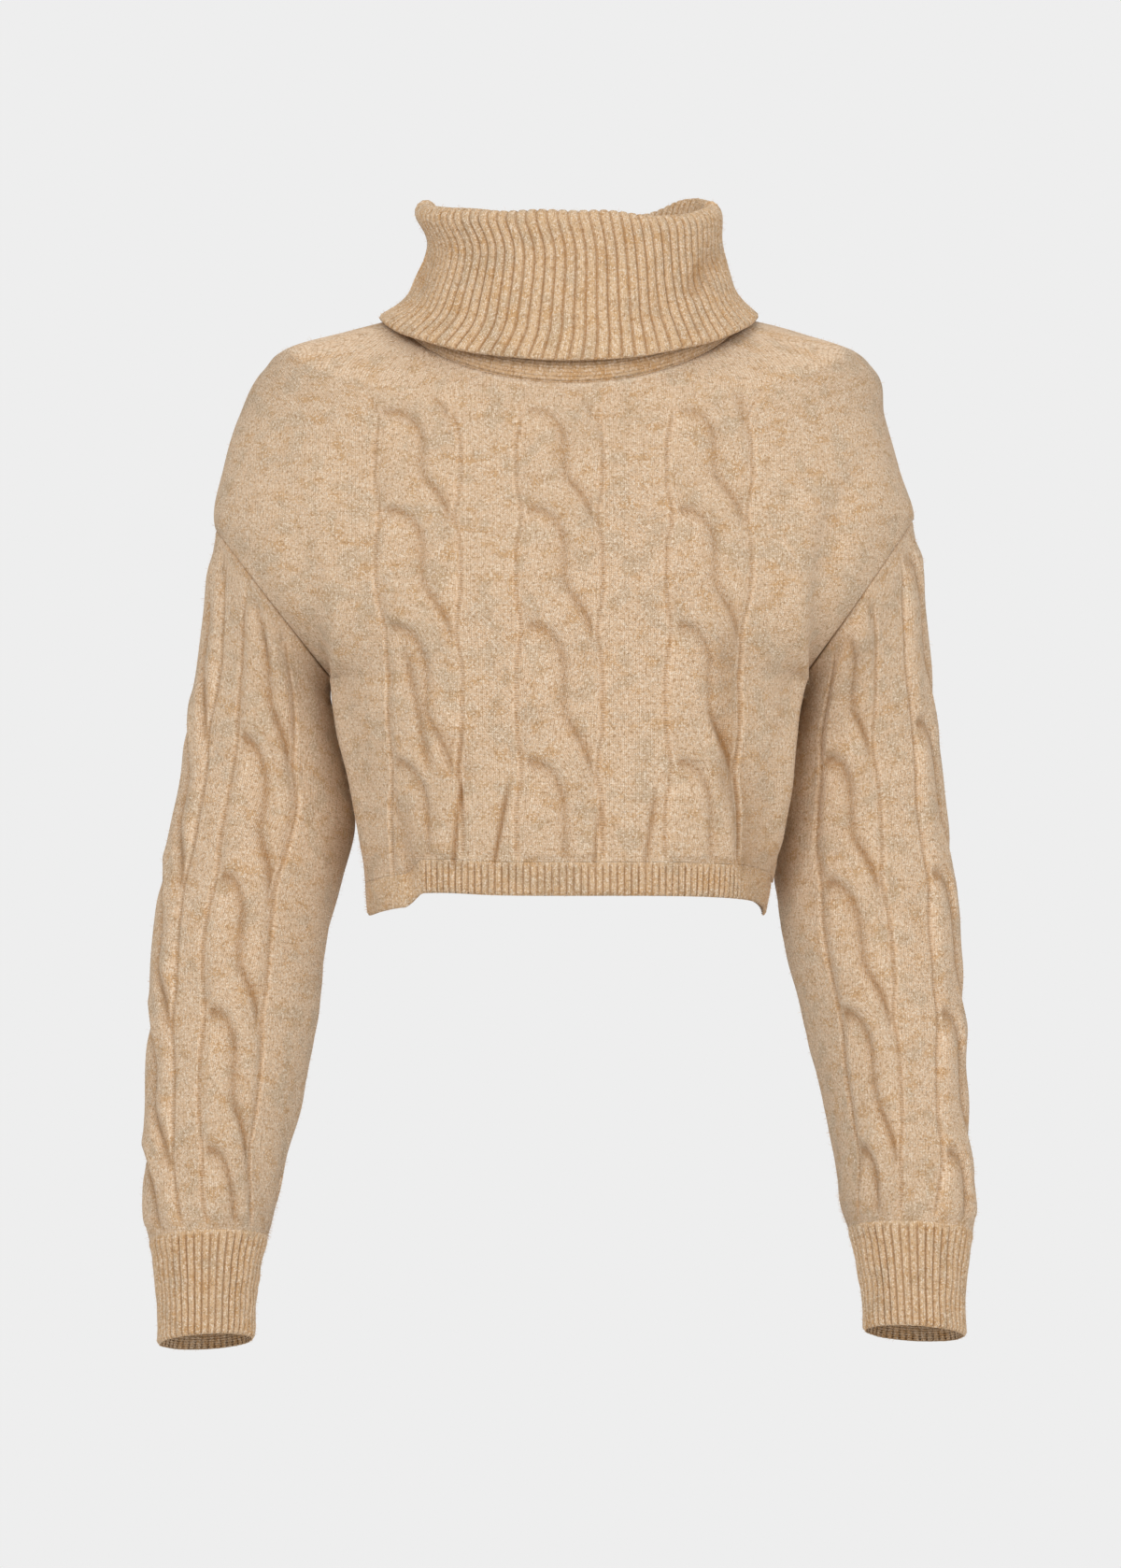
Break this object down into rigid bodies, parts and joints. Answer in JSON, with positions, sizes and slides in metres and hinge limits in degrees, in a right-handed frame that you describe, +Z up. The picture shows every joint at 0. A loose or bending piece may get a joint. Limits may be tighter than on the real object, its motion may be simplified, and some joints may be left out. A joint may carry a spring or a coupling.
{
  "type": "cropped cable-knit roll-neck sweater",
  "caption": "Cropped roll-neck sweater in brushed cable knit, in its hollow worn form: dropped shoulders, full sleeves with rib cuffs, a deep turned-down rib collar and a narrow rib hem.",
  "frame": {"origin": "middle of the neck base, at the height of the shoulders, where the wearer's neck and shoulders hold the garment", "axes": "+Z up the body towards the collar, -Y out of the front, +X towards the sleeve on the viewer's right in a front view"},
  "size_m": [0.5292, 0.2247, 0.7397],
  "materials": {
    "cable_knit": "matte brushed wool-blend knit, beige heather",
    "rib_knit": "matte rib knit of the same beige heather yarn"
  },
  "bodies": {
    "root": {"front_panel": "cable_knit", "back_panel": "cable_knit", "sleeve_left": "cable_knit", "sleeve_right": "cable_knit", "cuff_left": "rib_knit", "cuff_right": "rib_knit", "hem_rib_front": "rib_knit", "hem_rib_back": "rib_knit", "roll_collar": "rib_knit"}
  },
  "joints": []
}
